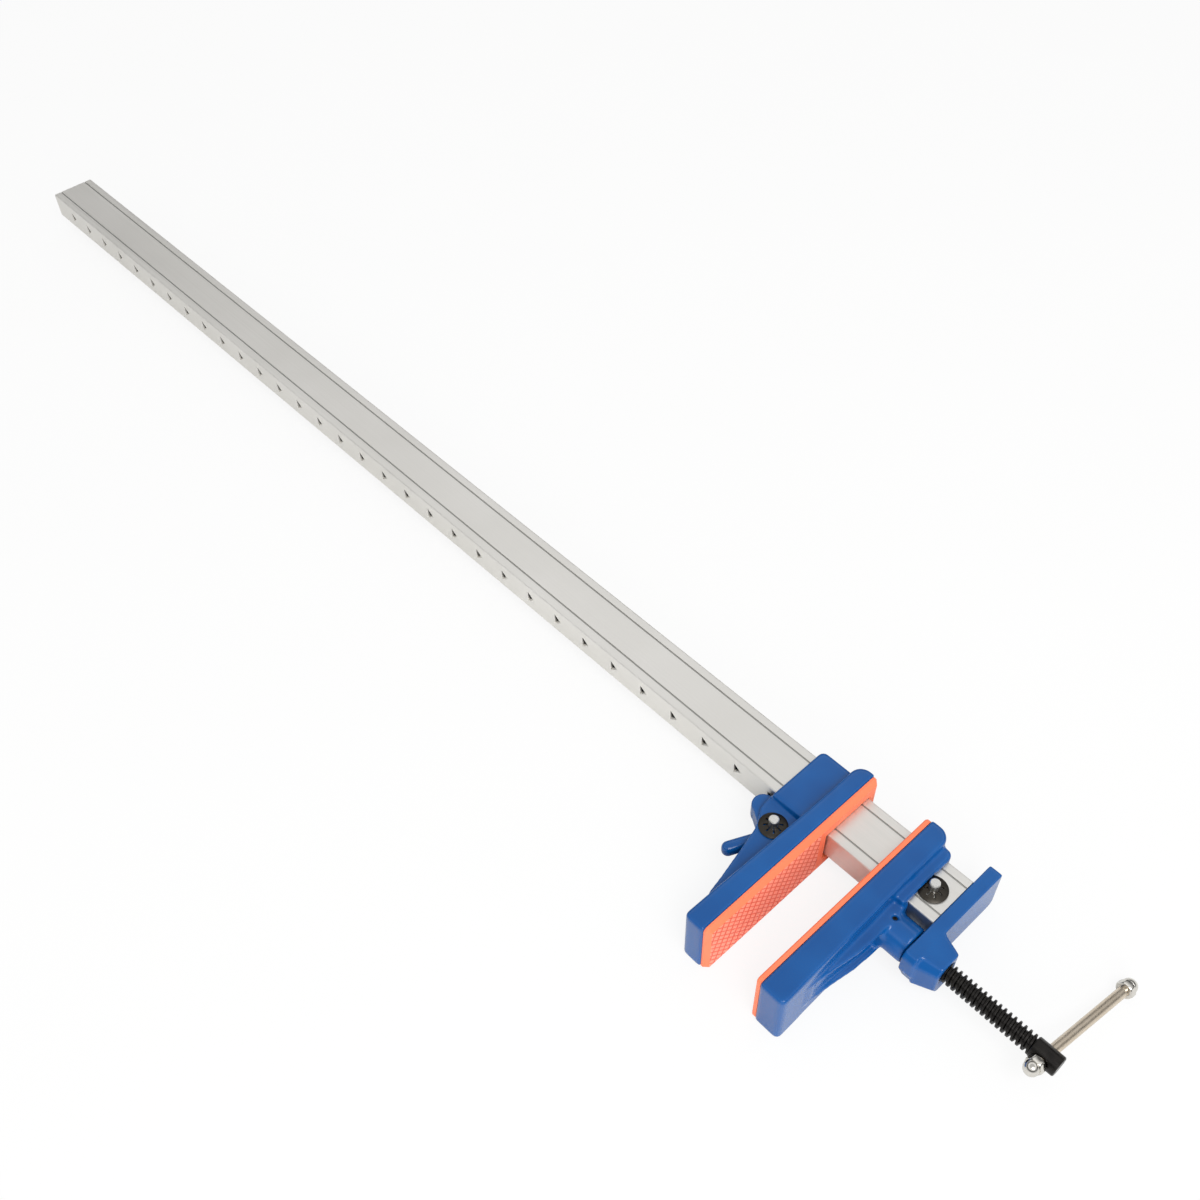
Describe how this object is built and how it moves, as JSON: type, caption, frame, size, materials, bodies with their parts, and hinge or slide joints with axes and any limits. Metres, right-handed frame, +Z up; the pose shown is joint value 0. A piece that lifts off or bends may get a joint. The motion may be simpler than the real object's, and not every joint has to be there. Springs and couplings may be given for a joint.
{
  "type": "bar clamp",
  "caption": "Bar clamp with a ratcheting sliding jaw, a quick release lever, cushioned jaw pads and a screw-fed jaw turned by a tommy bar.",
  "frame": {"origin": "centre of the bounding box, on the plane the clamp lies on", "axes": "+X along the bar from its tail to the screw, +Z up from the surface it lies on; the jaws reach towards -Y"},
  "size_m": [1.0166, 0.1538, 0.041],
  "materials": {
    "blue_paint": "gloss",
    "orange_pad": "satin",
    "bar_aluminium": "satin",
    "black_oxide": "satin",
    "nickel": "polished",
    "rod_steel": "satin",
    "spring_steel": "satin",
    "pin_steel": "polished",
    "black_plastic": "matte",
    "bush_bronze": "satin"
  },
  "bodies": {
    "bar": {"bar": "bar_aluminium", "tail_plug": "black_plastic", "end_plate": "blue_paint", "thread_bush": "bush_bronze", "end_pin": "pin_steel", "end_push_nut": "spring_steel"},
    "sliding_jaw": {"sliding_jaw": "blue_paint", "sliding_pad": "orange_pad", "pivot_pin": "pin_steel", "pivot_push_nut": "spring_steel", "lever_spring": "spring_steel"},
    "release_lever": {"release_lever": "blue_paint", "pawl_tooth": "black_oxide"},
    "screw_jaw": {"screw_jaw": "blue_paint", "screw_pad": "orange_pad", "thrust_disc": "pin_steel", "set_screw": "black_oxide"},
    "clamp_screw": {"clamp_screw": "black_oxide"},
    "tommy_bar": {"tommy_bar": "rod_steel", "near_acorn_nut": "nickel", "far_acorn_nut": "nickel"}
  },
  "joints": [
    {"name": "jaw_slide", "type": "slide", "parent": "bar", "child": "sliding_jaw", "axis": [1, 0, 0], "range_m": [-0.7874, 0]},
    {"name": "lever_turn", "type": "hinge", "parent": "sliding_jaw", "child": "release_lever", "pos_m": [0.32351, -0.00144, 0.0214], "axis": [0, 0, 1], "range_deg": [-5, 12], "stiffness_Nm_per_rad": 0.2},
    {"name": "screw_feed", "type": "slide", "parent": "bar", "child": "screw_jaw", "axis": [-1, 0, 0], "range_m": [0, 0.03]},
    {"name": "screw_spin", "type": "hinge", "parent": "screw_jaw", "child": "clamp_screw", "pos_m": [0.49691, 0.00407, 0.021], "axis": [-1, 0, 0], "range_deg": [0, 3600]},
    {"name": "handle_slide", "type": "slide", "parent": "clamp_screw", "child": "tommy_bar", "axis": [-0.0915, -0.974, 0.207], "range_m": [0, 0.059]}
  ],
  "couplings": [
    {"joint": "screw_spin", "follows": "screw_feed", "rad_per_m": 2094.4}
  ]
}
